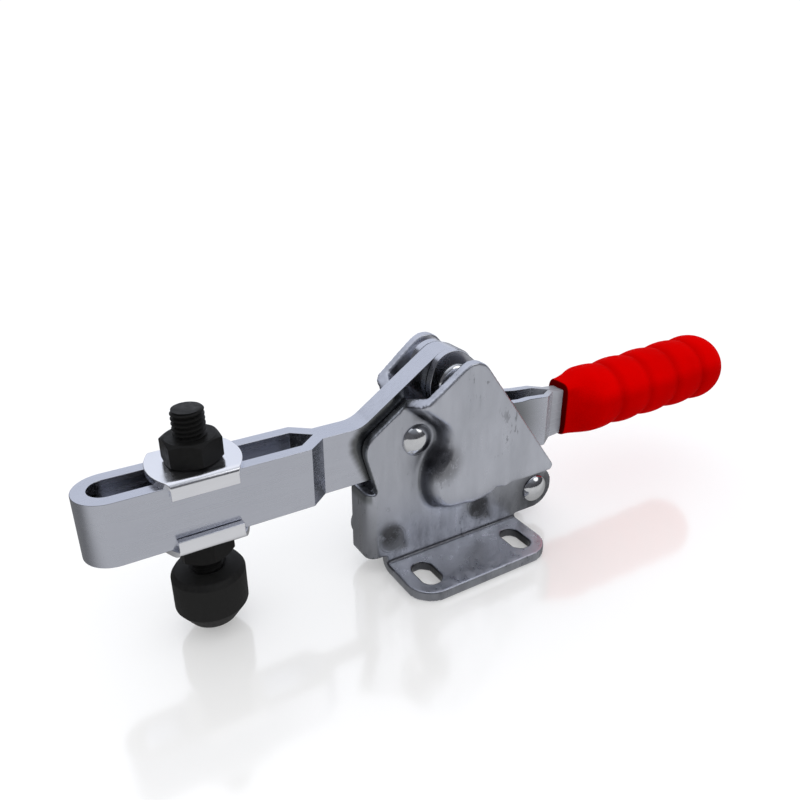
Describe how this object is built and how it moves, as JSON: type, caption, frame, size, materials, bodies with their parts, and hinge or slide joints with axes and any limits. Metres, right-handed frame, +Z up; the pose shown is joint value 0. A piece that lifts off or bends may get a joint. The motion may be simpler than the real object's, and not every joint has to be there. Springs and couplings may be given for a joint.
{
  "type": "toggle clamp",
  "caption": "Horizontal toggle clamp with a single mounting flange, slotted arm, threaded spindle with rubber tip and a ribbed plastic grip.",
  "frame": {"origin": "underside of the mounting flange, midway between its two slots", "axes": "X along the clamp from the nose to the grip, Y across it from the flange towards the side plates, Z up from the mounting surface"},
  "size_m": [0.2243, 0.0394, 0.0656],
  "materials": {
    "plate_steel": "zinc plated stamped sheet",
    "arm_steel": "bright zinc plated strip",
    "rivet_steel": "bright plated rivets",
    "black_steel": "black oxide",
    "black_rubber": "matt moulded rubber",
    "red_grip": "glossy dipped vinyl"
  },
  "bodies": {
    "base": {"base_near_plate": "plate_steel", "base_far_plate": "plate_steel", "front_base_rivet": "rivet_steel", "rear_base_rivet": "rivet_steel", "front_base_spacer": "arm_steel", "rear_base_spacer": "arm_steel", "arm_pivot_rivet": "rivet_steel", "link_near_rivet": "rivet_steel", "link_far_rivet": "rivet_steel"},
    "arm": {"clamp_arm": "arm_steel"},
    "lever": {"lever_near_plate": "arm_steel", "lever_far_plate": "arm_steel", "grip": "red_grip", "lever_pivot_rivet": "rivet_steel", "toggle_rivet": "rivet_steel"},
    "link": {"link_near_plate": "arm_steel", "link_far_plate": "arm_steel", "toggle_bush": "rivet_steel", "link_foot_bush": "rivet_steel"},
    "carriage": {"upper_washer": "arm_steel", "lower_washer": "arm_steel", "upper_nut": "black_steel", "lower_nut": "black_steel"},
    "spindle": {"spindle": "black_steel", "rubber_tip": "black_rubber"}
  },
  "joints": [
    {"name": "arm_swing", "type": "hinge", "parent": "base", "child": "arm", "pos_m": [-0.0141, 0.01625, 0.0413], "axis": [0, 1, 0], "range_deg": [0, 90]},
    {"name": "lever_swing", "type": "hinge", "parent": "arm", "child": "lever", "pos_m": [-0.001, 0.01625, 0.0554], "axis": [0, 1, 0], "range_deg": [-173.3, 0]},
    {"name": "link_swing", "type": "hinge", "parent": "lever", "child": "link", "pos_m": [0.0134, 0.01625, 0.0362], "axis": [0, 1, 0], "range_deg": [0, 98.8]},
    {"name": "carriage_slide", "type": "slide", "parent": "arm", "child": "carriage", "axis": [1, 0, 0], "range_m": [-0.016, 0.024]},
    {"name": "spindle_height", "type": "slide", "parent": "carriage", "child": "spindle", "axis": [0, 0, 1], "range_m": [-0.006, 0.003]}
  ],
  "couplings": [
    {"joint": "lever_swing", "follows": "arm_swing", "ratio": -1.9248},
    {"joint": "link_swing", "follows": "arm_swing", "ratio": 1.0972}
  ]
}
